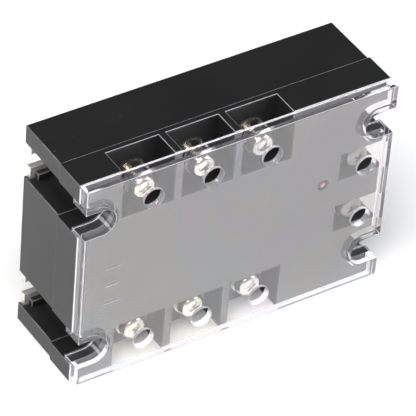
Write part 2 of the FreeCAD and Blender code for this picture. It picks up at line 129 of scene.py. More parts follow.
# %% Wires and boards
class Wire:
    """A node's output. Arithmetic on it adds Math nodes to its board."""

    def __init__(self, board, socket):
        self.board, self.socket = board, socket

    def out(self, name):
        return Wire(self.board, find(self.socket.node.outputs, name))

    def __add__(self, other):
        return self.board.math("ADD", self, other)

    def __sub__(self, other):
        return self.board.math("SUBTRACT", self, other)

    def __rsub__(self, other):
        return self.board.math("SUBTRACT", other, self)

    def __mul__(self, other):
        return self.board.math("MULTIPLY", self, other)

    def __truediv__(self, other):
        return self.board.math("DIVIDE", self, other)

    def __pow__(self, other):
        return self.board.math("POWER", self, other)

    __radd__ = __add__
    __rmul__ = __mul__


def find(sockets, name):
    """A socket by index, identifier or name."""
    if isinstance(name, int):
        return sockets[name]
    for socket in sockets:
        if socket.identifier == name:
            return socket
    return sockets[name]


class Board:
    """A node tree, and one method that makes any node in it."""

    def __init__(self, tree):
        self.tree = tree

    def node(self, kind, settings=None, inputs=None, output=0):
        made = self.tree.nodes.new(kind)
        for name, value in (settings or {}).items():
            if name == "stops":
                fill_ramp(made.color_ramp, value)
            else:
                setattr(made, name, value)
        for name, value in (inputs or {}).items():
            socket = find(made.inputs, name)
            for item in value if isinstance(value, list) else [value]:
                if isinstance(item, Wire):
                    self.tree.links.new(item.socket, socket)
                else:
                    socket.default_value = item
        return Wire(self, find(made.outputs, output)) if len(made.outputs) else made

    def math(self, operation, *values):
        return self.node("ShaderNodeMath", {"operation": operation}, dict(enumerate(values)))

    def blend(self, factor, first, second):
        values = {"Factor_Float": factor, "A_Color": first, "B_Color": second}
        return self.node("ShaderNodeMix", {"data_type": "RGBA"}, values, "Result_Color")

    def between(self, value, low, high):
        """0 where value is low, 1 where it is high, with a soft step between."""
        settings = {"interpolation_type": "SMOOTHSTEP"}
        return self.node(
            "ShaderNodeMapRange", settings, {"Value": value, "From Min": low, "From Max": high}
        )


def fill_ramp(ramp, stops):
    while len(ramp.elements) < len(stops):
        ramp.elements.new(1.0)
    for element, (position, colour) in zip(ramp.elements, stops):
        element.position, element.color = position, colour


print("wires and boards ready")

# %% [markdown]
# ## The studio
#
# A product shot stands on a pale sweep of paper. The floor is nearly white and does half of the
# lighting itself: the relay's front and end faces mirror it, which is what makes the clear cover
# look like a grey veil over the black housing. No lamp reaches the far end of the paper, so it
# glows there instead of falling into the dark.

# %% The floor
FLOOR_Z, SPAN = low.z, 6.0
GLOW_FROM, GLOW_FULL = 1.2, 3.2


def surface_of(name, paint):
    """A material whose surface is what paint makes on its board."""
    made = bpy.data.materials.new(name)
    made.use_nodes = True
    made.node_tree.nodes.clear()
    board = Board(made.node_tree)
    board.node("ShaderNodeOutputMaterial", inputs={"Surface": paint(board)})
    return made


def sweep_paper(board):
    """Faintly mottled paper that glows far from the relay."""
    place = board.node("ShaderNodeTexCoord", output="Object")
    mottle = board.node("ShaderNodeTexNoise", inputs={"Vector": place, "Scale": 3.0})
    colour = board.blend(mottle, (0.86, 0.86, 0.865, 1), (0.89, 0.89, 0.89, 1))
    away = board.node("ShaderNodeVectorMath", {"operation": "LENGTH"}, {0: place}, "Value")
    far = board.between(away, GLOW_FROM, GLOW_FULL)
    inputs = {
        "Base Color": colour, "Roughness": 0.8, "Emission Strength": 1.0,
        "Emission Color": board.blend(far, (0, 0, 0, 1), (0.88, 0.88, 0.89, 1)),
    }
    return board.node("ShaderNodeBsdfPrincipled", inputs=inputs)


floor_mesh = bpy.data.meshes.new("floor")
corners = [(-SPAN, -SPAN), (SPAN, -SPAN), (SPAN, SPAN), (-SPAN, SPAN)]
floor_mesh.from_pydata([(x, y, FLOOR_Z) for x, y in corners], [], [(0, 1, 2, 3)])
floor_mesh.materials.append(surface_of("sweep_paper", sweep_paper))
floor = bpy.data.objects.new("floor", floor_mesh)
bpy.context.scene.collection.objects.link(floor)
print("floor at", round(FLOOR_Z, 5), "and", 2 * SPAN, "m wide")

# %% [markdown]
# Three soft boxes light it: a large key high at the left, a cooler fill at the right, and a weak
# one behind at the left that parts the end face from the floor. Each is given by its place, the
# point that it aims at, its size, its watts and its tint.


# %% Lamps
def soft_box(name, place, aim, size, watts, tint=(1, 1, 1)):
    lamp = bpy.data.lights.new(name, "AREA")
    lamp.shape, lamp.size, lamp.energy, lamp.color = "SQUARE", size, watts, tint
    holder = bpy.data.objects.new(name, lamp)
    holder.rotation_euler = (Vector(aim) - Vector(place)).to_track_quat("-Z", "Y").to_euler()
    holder.location = place
    bpy.context.scene.collection.objects.link(holder)


soft_box("key", (-0.75, -0.55, 1.35), (0, 0, 0), 1.1, 33, (1, 0.995, 0.985))
soft_box("fill", (1.2, -0.7, 1.0), (0.1, 0.1, 0), 1.0, 17, (0.97, 0.98, 1))
soft_box("side", (-1.3, 0.9, 1.2), (0, 0.3, 0), 1.0, 9)
print("three soft boxes of", sum(lamp.energy for lamp in bpy.data.lights), "W")

# %% [markdown]
# The room is pale low down, like the far end of the sweep, and dark above, so that the long top
# side stays black. The heights are those of a direction of unit length, from 0 level to 1 straight
# up.

# %% The room
PALE_BELOW, DARK_ABOVE = 0.12, 0.30
DARK_ROOM, PALE_ROOM = (0.072, 0.074, 0.08, 1), (0.90, 0.90, 0.91, 1)

room = bpy.data.worlds.new("room")
room.use_nodes = True
room.node_tree.nodes.clear()
room_board = Board(room.node_tree)
way = room_board.node("ShaderNodeTexCoord", output="Generated")
height = room_board.node("ShaderNodeSeparateXYZ", inputs={0: way}).out("Z")
sweep = room_board.between(height, DARK_ABOVE, PALE_BELOW)
glow = room_board.node(
    "ShaderNodeBackground",
    inputs={"Color": room_board.blend(sweep, DARK_ROOM, PALE_ROOM), "Strength": 1.0},
)
room_board.node("ShaderNodeOutputWorld", inputs={"Surface": glow})
bpy.context.scene.world = room
bpy.context.scene.view_settings.view_transform = "Standard"
print("room of", len(room.node_tree.nodes), "nodes")

# %% [markdown]
# ## Materials
#
# The materials share a few short helpers. `place_of` gives the place on the object in metres, so
# a noise's scale is in cycles a metre. `edge_of` reads the `edge` attribute, which is written on
# the rounded edges when they are made. `bumped` turns a height into a Bump node of real depth.


# %% Helpers for materials
def place_of(board):
    return board.node("ShaderNodeTexCoord", output="Object")


def noise(board, scale, detail=2.0, place=None):
    inputs = {"Vector": place or place_of(board), "Scale": scale, "Detail": detail}
    return board.node("ShaderNodeTexNoise", inputs=inputs)


def edge_of(board):
    return board.node("ShaderNodeAttribute", {"attribute_name": "edge"}, output="Fac")


def bumped(board, height, depth, strength):
    inputs = {"Height": height, "Distance": depth, "Strength": strength}
    return board.node("ShaderNodeBump", inputs=inputs)


print("material helpers ready")

# %% [markdown]
# ### The black moulding
#
# The housing is glass-filled plastic from a spark-eroded tool: a fine even grain on its sides, a
# smoother front painted paler as a painted sheen, and rougher walls inside the bays painted darker
# as painted shade. Three masks tell these places apart by their distance from the terminal frame's
# own box. The last one follows the frame's long rims at the top and bottom, where the painted
# edge highlight is strongest.

# %% Masks on the terminal frame
FRAME_LOW, FRAME_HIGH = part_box("front_case")
FRONT_SKIN = 0.0003
INSIDE_STARTS, INSIDE_FULL = 0.0004, 0.0012
BAY_STARTS, BAY_FULL = 0.0006, 0.0016
RIM_STARTS, RIM_FULL = 0.0010, 0.0008
ENDS_STOP, ENDS_CLEAR = 0.0012, 0.0016
BEHIND_STOPS, BEHIND_CLEAR = 0.0008, 0.0004


def front_of(board, apart):
    """1 on the front face."""
    return board.between(apart.out("Y"), FRAME_LOW.y + FRONT_SKIN, FRAME_LOW.y)


def within_frame(board, apart):
    """1 on the walls inside the bays, 0 on the outer faces."""
    wide, tall = board.math("ABSOLUTE", apart), board.math("ABSOLUTE", apart.out("Z"))
    depth = board.between(apart.out("Y"), FRAME_LOW.y + BAY_STARTS, FRAME_LOW.y + BAY_FULL)
    level = board.between(tall, FRAME_HIGH.z - INSIDE_STARTS, FRAME_HIGH.z - INSIDE_FULL)
    along = board.between(wide, FRAME_HIGH.x - INSIDE_STARTS, FRAME_HIGH.x - INSIDE_FULL)
    return depth * level * along


def along_rims(board, apart):
    """1 beside the frame's top and bottom faces, 0 at its ends and behind it."""
    wide, tall = board.math("ABSOLUTE", apart), board.math("ABSOLUTE", apart.out("Z"))
    beside = board.between(tall, FRAME_HIGH.z - RIM_STARTS, FRAME_HIGH.z - RIM_FULL)
    off_ends = board.between(wide, FRAME_HIGH.x - ENDS_STOP, FRAME_HIGH.x - ENDS_CLEAR)
    ahead = board.between(
        apart.out("Y"), FRAME_HIGH.y + BEHIND_STOPS, FRAME_HIGH.y + BEHIND_CLEAR
    )
    return beside * off_ends * ahead


print("terminal frame", [round(v * 1000, 1) for v in FRAME_HIGH - FRAME_LOW], "mm")

# %% [markdown]
# Colour alone can't show a moulded surface. The grain is a fine noise fed to a Bump node, pale
# specks are dust, and the rounded edges are painted paler as a painted highlight.

# %% Black plastic
# BAY_SHADE is painted shade: near black for the walls inside the bays.
BAY_SHADE, GRAIN_DEPTH = (0.003, 0.003, 0.003, 1), 0.00002


def moulding(dark, pale, front, dust_and_edge_highlight, rough):
    """Mottled from dark to pale, with painted sheen on the front, and dust and painted edge
    highlights.
    """
    def paint(board):
        cloud, grain, speck = noise(board, 35.0), noise(board, 3800.0), noise(board, 900.0, 4.0)
        edge = edge_of(board)
        dust = board.between(speck, 0.66, 0.74)
        apart = board.node("ShaderNodeSeparateXYZ", inputs={0: place_of(board)})
        face, inside = front_of(board, apart), within_frame(board, apart)
        colour = board.blend(cloud, dark, pale)
        # Painted shade darkens the walls inside the bays.
        colour = board.blend(inside, colour, BAY_SHADE)
        # Painted sheen: the front face is painted far paler than the black sides.
        colour = board.blend(face, colour, front)
        colour = board.blend(board.between(dust * cloud, 0.3, 0.8) * 0.35, colour, dust_and_edge_highlight)
        # Painted highlight: the rounded edges are painted paler, broken up by noise and strongest
        # along the frame's long rims.
        highlight_breakup = board.between(noise(board, 260.0), 0.3, 0.7)
        edge_highlight = edge * (0.15 + 0.20 * highlight_breakup + 0.65 * along_rims(board, apart))
        colour = board.blend(edge_highlight, colour, dust_and_edge_highlight)
        height = (grain + 0.5 * speck) * (1 - 0.9 * face)
        inputs = {
            "Base Color": colour, "IOR": 1.52,
            "Roughness": rough + 0.1 * (cloud - 0.5) + 0.08 * dust - 0.12 * face + 0.2 * inside,
            "Normal": bumped(board, height, GRAIN_DEPTH, 0.4),
        }
        return board.node("ShaderNodeBsdfPrincipled", inputs=inputs)
    return paint


black_plastic = surface_of(
    "black_plastic",
    moulding(
        (0.008, 0.008, 0.008, 1), (0.012, 0.012, 0.012, 1), (0.118, 0.116, 0.122, 1),
        (0.36, 0.355, 0.39, 1), 0.36,
    ),
)
print("black plastic ready")

# %% [markdown]
# ### The clear polycarbonate
#
# Clear plastic needs real thickness, so that its rims bend the pale floor into bright lines. Its
# large flats aren't perfectly clean: moulding stress leaves pale bands of colour on them, and
# handling leaves smears and dust. The rounded edges and the walls of the screwdriver holes, which
# a `bore` attribute marks, scatter light much more and look faintly violet.
#
# A Mix Shader adds that haze to a Principled shader that transmits, and a second one lets lamps
# shine straight through, so that the screws behind the cover are lit.

# %% Clear plastic
CLEAN_PLASTIC, SHADOW_TINT = (0.98, 0.98, 0.99, 1), (0.84, 0.84, 0.85, 1)
HAZE, CUT_HAZE = (0.72, 0.72, 0.74, 1), (0.92, 0.89, 1.0, 1)
SWELL_DEPTH = 0.00003


def stress_bands(board):
    """Pale bands of colour, broad and slightly twisted."""
    bands = board.node(
        "ShaderNodeTexNoise",
        inputs={"Vector": place_of(board), "Scale": 16.0, "Detail": 1.0, "Distortion": 1.6},
    )
    stress = [
        (0.32, (0.93, 0.94, 1.0, 1)), (0.42, (1.0, 0.96, 0.89, 1)),
        (0.50, (0.95, 0.98, 0.97, 1)), (0.58, (1.0, 0.93, 0.95, 1)),
        (0.68, (0.94, 0.93, 1.0, 1)),
    ]
    return board.node("ShaderNodeValToRGB", {"stops": stress}, {0: bands})


def polycarbonate(board):
    """Clear inside, hazy on its flats and at its cut edges, and open to the lamps' light."""
    smear, swell = noise(board, 30.0, 3.0), noise(board, 42.0, 1.0)
    dust = noise(board, 1500.0, 4.0)
    normal = board.node("ShaderNodeNewGeometry", output="Normal")
    facing = board.node("ShaderNodeSeparateXYZ", inputs={0: normal})
    flat = board.between(board.math("ABSOLUTE", facing.out("Y")), 0.95, 0.99)
    bore = board.node("ShaderNodeAttribute", {"attribute_name": "bore"}, output="Fac")
    cut = board.math("MAXIMUM", 0.55 * bore, edge_of(board))
    clear = board.node(
        "ShaderNodeBsdfPrincipled",
        inputs={
            "Base Color": board.blend(flat, CLEAN_PLASTIC, stress_bands(board)),
            "Roughness": 0.008 + 0.03 * flat * board.between(smear, 0.45, 0.7),
            "Transmission Weight": 1.0, "IOR": 1.585,
            "Normal": bumped(board, swell, SWELL_DEPTH, 0.2),
        },
    )
    haze = board.node(
        "ShaderNodeBsdfPrincipled",
        inputs={"Base Color": board.blend(cut, HAZE, CUT_HAZE), "Roughness": 0.5},
    )
    share = 0.006 + flat * (0.02 + 0.04 * smear + 0.10 * board.between(dust, 0.68, 0.76))
    share = share + 0.38 * cut
    hazy = board.node("ShaderNodeMixShader", inputs={0: share, 1: clear, 2: haze})
    through = board.node("ShaderNodeBsdfTransparent", inputs={"Color": SHADOW_TINT})
    shadow = board.node("ShaderNodeLightPath", output="Is Shadow Ray")
    return board.node("ShaderNodeMixShader", inputs={0: shadow, 1: hazy, 2: through})


clear_plastic = surface_of("clear_plastic", polycarbonate)
print("clear plastic ready")

# %% [markdown]
# ### Metals
#
# The power screws are bright nickel on steel and their washers a greyer steel. The input screws
# and their washers are a darker, duller metal. The posts are nickel on brass, with the rings that
# turning leaves darkened by painted shade in their grooves, and the base is rolled aluminium with
# fine lines along its length. Plated metal shows its polish as broken reflections, so roughness
# carries most of the detail, with small pits and warmer stains in patches.

# %% Two kinds of metal
GROOVE_SHADE, PIT_DEPTH, LINE_DEPTH = (0.01, 0.01, 0.009, 1), 0.000012, 0.00001


def plated(clean, stained, rough, pits, groove=0.0):
    """Plated metal. With a groove, turned rings of painted shade run round the piece, one each
    groove's width.
    """
    def paint(board):
        cloud, fine, pit = noise(board, 260.0), noise(board, 2600.0, 4.0), noise(board, pits, 3.0)
        stain = board.between(cloud, 0.42, 0.72)
        colour = board.blend(stain * 0.8, clean, stained)
        if groove:
            apart = board.node("ShaderNodeSeparateXYZ", inputs={0: place_of(board)})
            ring = board.math("PINGPONG", apart.out("Y") / groove, 0.5) * 2
            # Painted shade: the turned grooves are darkened nearly to black.
            colour = board.blend(board.between(ring, 0.45, 0.15), colour, GROOVE_SHADE)
        inputs = {
            "Base Color": colour, "Metallic": 1.0,
            "Roughness": rough + 0.12 * stain + 0.06 * fine - 0.05 * edge_of(board),
            "Normal": bumped(board, board.between(pit, 0.3, 0.6) + 0.3 * fine, PIT_DEPTH, 0.5),
        }
        return board.node("ShaderNodeBsdfPrincipled", inputs=inputs)
    return paint


def rolled(clean, stained, rough, stretch):
    """Sheet with rolling lines. The stretch is the lines' scale along X, Y and Z."""
    def paint(board):
        long_way = board.node(
            "ShaderNodeMapping", inputs={"Vector": place_of(board), "Scale": stretch}
        )
        lines = noise(board, 1.0, 4.0, long_way)
        cloud = noise(board, 60.0)
        colour = board.blend(0.22 * board.between(cloud, 0.35, 0.7), clean, stained)
        colour = board.blend(0.45 * lines, colour, stained)
        inputs = {
            "Base Color": colour, "Metallic": 1.0, "Roughness": rough + 0.16 * (lines - 0.5),
            "Normal": bumped(board, lines, LINE_DEPTH, 0.5),
        }
        return board.node("ShaderNodeBsdfPrincipled", inputs=inputs)
    return paint


print("metal recipes ready")

# %% [markdown]
# Each metal is given by its clean and its stained colour, its roughness and how fine its pits or
# its lines are.

# %% Nickel, steel, zinc and aluminium
POST_GROOVE = 0.0007

bright_nickel = surface_of(
    "bright_nickel", plated((0.93, 0.90, 0.85, 1), (0.66, 0.60, 0.52, 1), 0.12, 1500.0)
)
washer_steel = surface_of(
    "washer_steel", plated((0.60, 0.58, 0.54, 1), (0.32, 0.30, 0.265, 1), 0.20, 1500.0)
)
# A darker, duller metal for the input screws and their washers.
darker_metal = surface_of(
    "darker_metal", plated((0.34, 0.33, 0.32, 1), (0.22, 0.20, 0.18, 1), 0.30, 1500.0)
)
post_nickel = surface_of(
    "post_nickel",
    plated((0.60, 0.57, 0.52, 1), (0.40, 0.37, 0.31, 1), 0.24, 1100.0, POST_GROOVE),
)
rolled_aluminium = surface_of(
    "rolled_aluminium",
    rolled((0.93, 0.91, 0.86, 1), (0.74, 0.71, 0.66, 1), 0.52, (60.0, 5200.0, 5200.0)),
)
print("five metals ready")

# %% [markdown]
# ## Pieces from the engineering solids
#
# The engineering solids are exact but razor-sharp, and nothing moulded or stamped is. A copy of
# each main solid has its loose triangles joined and its flats made whole again. Then every outer
# edge sharper than 30 degrees is rounded in mesh code, and the new faces are written into an
# `edge` attribute for the materials. Inner corners stay sharp. Weighted normals keep the flats
# flat beside the small rounds.

# %% Rounded copies
SHARP, NEARLY_FLAT, WELD = math.radians(30), math.radians(0.5), 0.000002


def merged_copy(node):
    shape = bmesh.new()
    shape.from_mesh(frame["nodes"][node].data)
    bmesh.ops.remove_doubles(shape, verts=shape.verts, dist=WELD)
    bmesh.ops.dissolve_limit(
        shape, angle_limit=NEARLY_FLAT, verts=shape.verts, edges=shape.edges
    )
    return shape


def round_edges(shape, width, steps=2):
    mark = shape.faces.layers.float.new("edge")
    edges = [
        e for e in shape.edges
        if len(e.link_faces) == 2 and e.is_convex and e.calc_face_angle() > SHARP
    ]
    made = bmesh.ops.bevel(
        shape, geom=edges, offset=width, offset_type="OFFSET", segments=steps, profile=0.5,
        affect="EDGES", clamp_overlap=True, miter_outer="ARC",
    )
    for face in made["faces"]:
        face[mark] = 1.0
    return shape


def as_piece(shape, name, material):
    """A plain object from a bmesh, smooth but for its sharp edges."""
    mesh = bpy.data.meshes.new(name)
    shape.to_mesh(mesh)
    shape.free()
    mesh.polygons.foreach_set("use_smooth", [True] * len(mesh.polygons))
    mesh.set_sharp_from_angle(angle=SHARP)
    mesh.materials.append(material)
    piece = bpy.data.objects.new(name, mesh)
    bpy.context.scene.collection.objects.link(piece)
    weigh = piece.modifiers.new("weigh", "WEIGHTED_NORMAL")
    weigh.keep_sharp = True
    return piece


def stands_for(piece, node):
    """The piece replaces a node and rides on the node's body."""
    body = frame["nodes"][node]["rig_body"]
    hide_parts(node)
    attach(piece, body)
    print(piece.name, len(piece.data.polygons), "faces, riding on", body)


print("rounding outer edges over", round(math.degrees(SHARP)), "degrees")

# %% [markdown]
# The base plate is sheared from rolled sheet and its slots are punched, so its edges are only
# just broken. The two halves of the housing have the radius that a moulding tool's cutter leaves.

# %% Base plate and housing
PLATE_ROUND, CASE_ROUND = 0.00018, 0.0003

for node, width, material, slot in (
    ("base_plate", PLATE_ROUND, rolled_aluminium, "base_metal"),
    ("rear_case", CASE_ROUND, black_plastic, "case_black"),
    ("front_case", CASE_ROUND, black_plastic, "case_black"),
):
    shape = round_edges(merged_copy(node), width)
    stands_for(as_piece(shape, node + "_made", material), node)

# %% [markdown]
# The cover is one clear moulding: a shallow tray with walls round its notches. Its rims are what
# the eye catches, so they are rounded a little more than the housing's edges. Each face within a
# screwdriver hole's reach of a screw's axis is marked as bored, rims included.

# %% Clear cover
COVER_ROUND, ACCESS_RADIUS = 0.00042, 0.0036

shape = round_edges(merged_copy("clear_cover"), COVER_ROUND, 3)
bored = shape.faces.layers.float.new("bore")
edge = shape.faces.layers.float["edge"]
axes = [middle_of(terminal.format("screw"))[0] for terminal in TERMINALS]
for face in shape.faces:
    middle = face.calc_center_median()
    reach = min(math.hypot(middle.x - axis.x, middle.z - axis.z) for axis in axes)
    if reach < ACCESS_RADIUS:
        face[bored], face[edge] = 1.0, 0.0
cover = as_piece(shape, "clear_cover_made", clear_plastic)
stands_for(cover, "clear_cover")

# %% [markdown]
# ## Screws by Geometry Nodes
#
# Eight screws differ only in length, place and how far each was turned, which is what a node
# group with named inputs is for. Every group ends in the same way: bends over 35 degrees stay
# crisp, and the material is set. The finished mesh is then kept as a plain object.


# %% Helpers for node groups
CRISP = math.radians(35)


def new_group(name, inputs):
    """A geometry node group with the named inputs, its board and its input wires."""
    tree = bpy.data.node_groups.new(name, "GeometryNodeTree")
    for label, kind in inputs.items():
        tree.interface.new_socket(label, in_out="INPUT", socket_type="NodeSocket" + kind)
    tree.interface.new_socket("Geometry", in_out="OUTPUT", socket_type="NodeSocketGeometry")
    board = Board(tree)
    given = tree.nodes.new("NodeGroupInput")
    return board, {label: Wire(board, given.outputs[label]) for label in inputs}


def finish_group(board, geometry, material):
    """Sharp edges marked, instances realized, material set, and the tree closed."""
    smooth = board.node("GeometryNodeSetShadeSmooth", inputs={"Geometry": geometry})
    bend = board.node("GeometryNodeInputMeshEdgeAngle")
    crisp = board.node(
        "FunctionNodeCompare", {"operation": "GREATER_THAN"}, {"A": bend, "B": CRISP}
    )
    marked = board.node(
        "GeometryNodeSetShadeSmooth", {"domain": "EDGE"},
        {"Geometry": smooth, "Selection": crisp, "Shade Smooth": False},
    )
    real = board.node("GeometryNodeRealizeInstances", inputs={"Geometry": marked})
    done = board.node("GeometryNodeSetMaterial", inputs={"Geometry": real, "Material": material})
    board.node("NodeGroupOutput", inputs={"Geometry": done})


def grown(name, board, values):
    """The plain mesh object that a group gives for some values."""
    seed = bpy.data.objects.new(name + "_seed", bpy.data.meshes.new(name + "_seed"))
    bpy.context.scene.collection.objects.link(seed)
    modifier = seed.modifiers.new("grow", "NODES")
    modifier.node_group = board.tree
    for item in board.tree.interface.items_tree:
        if item.in_out == "INPUT" and item.name in values:
            modifier[item.identifier] = values[item.name]
    seed.update_tag()
    view = bpy.context.evaluated_depsgraph_get()
    mesh = bpy.data.meshes.new_from_object(seed.evaluated_get(view))
    mesh.name = name
    piece = bpy.data.objects.new(name, mesh)
    bpy.context.scene.collection.objects.link(piece)
    bpy.data.objects.remove(seed)
    return piece


print("group helpers ready")

# %% [markdown]
# A grid is bent into a solid of revolution: its X runs round the axis and its Y runs along a
# profile. On the shank, the radius rises and falls with the height less the angle, which is all
# that a thread is. The head's profile is a superellipse, then a straight line across the
# underside.

# %% Turned shapes
JOINED = 0.000004
TOP_SHARE, FLATNESS = 0.8, 0.62
ROOT_SHARE, TIP_STEEPNESS = 0.82, 24


def turned(board, around, along, radius_and_height):
    """A grid bent round Z. radius_and_height takes the angle and the share along the profile."""
    grid = board.node(
        "GeometryNodeMeshGrid",
        inputs={"Size X": 1.0, "Size Y": 1.0, "Vertices X": around + 1, "Vertices Y": along + 1},
    )
    where = board.node("GeometryNodeInputPosition")
    apart = board.node("ShaderNodeSeparateXYZ", inputs={0: where})
    angle = (apart + 0.5) * (2 * math.pi)
    radius, height = radius_and_height(angle, apart.out("Y") + 0.5)
    bent = board.node(
        "ShaderNodeCombineXYZ",
        inputs={
            "X": radius * board.math("COSINE", angle), "Y": radius * board.math("SINE", angle),
            "Z": height,
        },
    )
    moved = board.node("GeometryNodeSetPosition", inputs={"Geometry": grid, "Position": bent})
    return board.node(
        "GeometryNodeMergeByDistance", inputs={"Geometry": moved, "Distance": JOINED}
    )


def head_profile(board, given):
    """Radius and height along a pan head: over its top, then in under it."""
    def profile(angle, along):
        top = board.math("MINIMUM", along / TOP_SHARE, 1.0) * (math.pi / 2)
        under = board.math("MAXIMUM", (along - TOP_SHARE) / (1 - TOP_SHARE), 0.0)
        out = board.math("SINE", top) ** FLATNESS
        rise = board.math("MAXIMUM", board.math("COSINE", top), 0.0) ** FLATNESS
        return given["Head Radius"] * out * (1 - under), given["Head Height"] * rise
    return profile


def shank_profile(board, given):
    """A thread's crest is where the height in turns, less the angle in turns, is whole."""
    def profile(angle, along):
        height = along * given["Shank Length"]
        turns = height / given["Pitch"] + angle / (2 * math.pi)
        ridge = board.math("PINGPONG", turns, 0.5) * 2
        crest = board.between(ridge, 0.12, 0.85)
        point = board.math("MINIMUM", (1 - along) * TIP_STEEPNESS, 1.0)
        close = board.math("GREATER_THAN", along, 0.0001) * board.math("LESS_THAN", along, 0.9999)
        radius = given["Shank Radius"] * (ROOT_SHARE + (1 - ROOT_SHARE) * crest * point)
        return radius * close, 0 - height
    return profile


print("turned shapes ready")

# %% [markdown]
# The recess is a cross of two tapered bars, each a cube narrowed towards its lower end, and both
# are cut from the head.

# %% The cross recess
RECESS_TAPER = 0.42


def recess_bar(board, given, across, along):
    """A bar across the head, narrower at the bottom of the recess."""
    size = board.node(
        "ShaderNodeCombineXYZ",
        inputs={"X": given[across], "Y": given[along], "Z": given["Recess Depth"] * 2},
    )
    bar = board.node("GeometryNodeMeshCube", inputs={"Size": size})
    where = board.node("GeometryNodeInputPosition")
    apart = board.node("ShaderNodeSeparateXYZ", inputs={0: where})
    taper = board.node(
        "ShaderNodeMapRange",
        inputs={
            "Value": apart.out("Z"), "From Min": 0 - given["Recess Depth"], "From Max": 0.0,
            "To Min": RECESS_TAPER, "To Max": 1.0,
        },
    )
    narrow = board.node(
        "ShaderNodeCombineXYZ",
        inputs={
            "X": apart * taper, "Y": apart.out("Y") * taper,
            "Z": apart.out("Z") + given["Head Height"],
        },
    )
    return board.node("GeometryNodeSetPosition", inputs={"Geometry": bar, "Position": narrow})


def laid_down(board, given, geometry):
    """Turned about its axis, laid along Y and set in its seat."""
    spin = board.node("ShaderNodeCombineXYZ", inputs={"Z": given["Turn"]})
    spun = board.node("GeometryNodeTransform", inputs={"Geometry": geometry, "Rotation": spin})
    return board.node(
        "GeometryNodeTransform",
        inputs={"Geometry": spun, "Rotation": (math.pi / 2, 0, 0), "Translation": given["Seat"]},
    )


print("recess ready")

# %% [markdown]
# The screw is made upright, its head on top, and then laid along Y, head towards the viewer.

# %% The screw group
HEAD_STEPS, SHANK_STEPS = (96, 40), (40, 170)


def screw_group():
    board, given = new_group(
        "pan_head_screw",
        {
            "Head Radius": "Float", "Head Height": "Float", "Shank Radius": "Float",
            "Shank Length": "Float", "Pitch": "Float", "Recess Span": "Float",
            "Recess Width": "Float", "Recess Depth": "Float", "Turn": "Float",
            "Seat": "Vector", "Material": "Material",
        },
    )
    top = turned(board, *HEAD_STEPS, head_profile(board, given))
    stem = turned(board, *SHANK_STEPS, shank_profile(board, given))
    bars = [
        recess_bar(board, given, "Recess Span", "Recess Width"),
        recess_bar(board, given, "Recess Width", "Recess Span"),
    ]
    for bar in bars:
        top = board.node(
            "GeometryNodeMeshBoolean", {"operation": "DIFFERENCE", "solver": "EXACT"},
            {"Mesh 1": top, "Mesh 2": bar},
        )
    both = board.node("GeometryNodeJoinGeometry", inputs={"Geometry": [stem, top]})
    finish_group(board, laid_down(board, given, both), given["Material"])
    return board


SCREW = screw_group()
print("screw group of", len(SCREW.tree.nodes), "nodes")

# %% [markdown]
# Washers are rings of a rounded flat section swept along an arc. The lock washer's arc stops
# short and climbs a little, so that its two ends stand apart like a cut spring.

# %% The ring group
ARC_POINTS = 72


def ring_group():
    board, given = new_group(
        "washer_ring",
        {
            "Middle Radius": "Float", "Width": "Float", "Thickness": "Float", "Round": "Float",
            "Sweep": "Float", "Closed": "Bool", "Climb": "Float", "Turn": "Float",
            "Seat": "Vector", "Material": "Material",
        },
    )
    arc = board.node(
        "GeometryNodeCurveArc",
        inputs={
            "Resolution": ARC_POINTS, "Radius": given["Middle Radius"],
            "Sweep Angle": given["Sweep"],
        },
    )
    closed = board.node(
        "GeometryNodeSetSplineCyclic", inputs={"Geometry": arc, "Cyclic": given["Closed"]}
    )
    share = board.node("GeometryNodeSplineParameter", output="Factor")
    lift = board.node("ShaderNodeCombineXYZ", inputs={"Z": (share - 0.5) * given["Climb"]})
    climbing = board.node(
        "GeometryNodeSetPosition", inputs={"Geometry": closed, "Offset": lift}
    )
    level = board.node("GeometryNodeSetCurveNormal", {"mode": "Z_UP"}, {"Curve": climbing})
    section = board.node(
        "GeometryNodeCurvePrimitiveQuadrilateral",
        inputs={"Width": given["Width"], "Height": given["Thickness"]},
    )
    soft = board.node(
        "GeometryNodeFilletCurve", {"mode": "POLY"},
        {"Curve": section, "Radius": given["Round"], "Count": 3},
    )
    swept = board.node(
        "GeometryNodeCurveToMesh",
        inputs={"Curve": level, "Profile Curve": soft, "Fill Caps": True},
    )
    finish_group(board, laid_down(board, given, swept), given["Material"])
    return board


RING = ring_group()
print("ring group of", len(RING.tree.nodes), "nodes")

# %% [markdown]
# A screw's box in the model gives its place, its width and its length. `CLEAR` keeps each made
# piece just inside its box. The input screws and their washers are a darker, duller metal, the
# others brighter.

# %% Screws
CLEAR, HEAD_HEIGHT = 0.00001, 0.0031
CUT = {
    "Shank Radius": 0.00198, "Pitch": 0.0007,
    "Recess Span": 0.0046, "Recess Width": 0.00095, "Recess Depth": 0.0018,
}


def metal_for(terminal, bright):
    return darker_metal if terminal.startswith("input") else bright


def add_screw(terminal, turn):
    node = terminal.format("screw")
    centre, size = middle_of(node)
    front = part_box(node)[0].y
    values = CUT | {
        "Head Radius": size.x / 2 - CLEAR, "Head Height": HEAD_HEIGHT - CLEAR,
        "Shank Length": size.y - HEAD_HEIGHT, "Turn": turn,
        "Seat": (centre.x, front + HEAD_HEIGHT, centre.z),
        "Material": metal_for(terminal, bright_nickel),
    }
    stands_for(grown(node + "_made", SCREW, values), node)


print("a head", HEAD_HEIGHT * 1000, "mm high and a thread of pitch", CUT["Pitch"] * 1000, "mm")

# %% [markdown]
# A flat washer is the whole ring, so its arc stops one step short and the closed curve adds that
# step. A lock washer is split: its arc covers 6 radians and climbs by a fifth of a millimetre.

# %% Washers
WASHER_BORE, WASHER_ROUND = 0.0043, 0.00012
KINDS = {
    "flat_washer": (2 * math.pi * (ARC_POINTS - 1) / ARC_POINTS, True, 0.0),
    "lock_washer": (6.0, False, 0.00022),
}


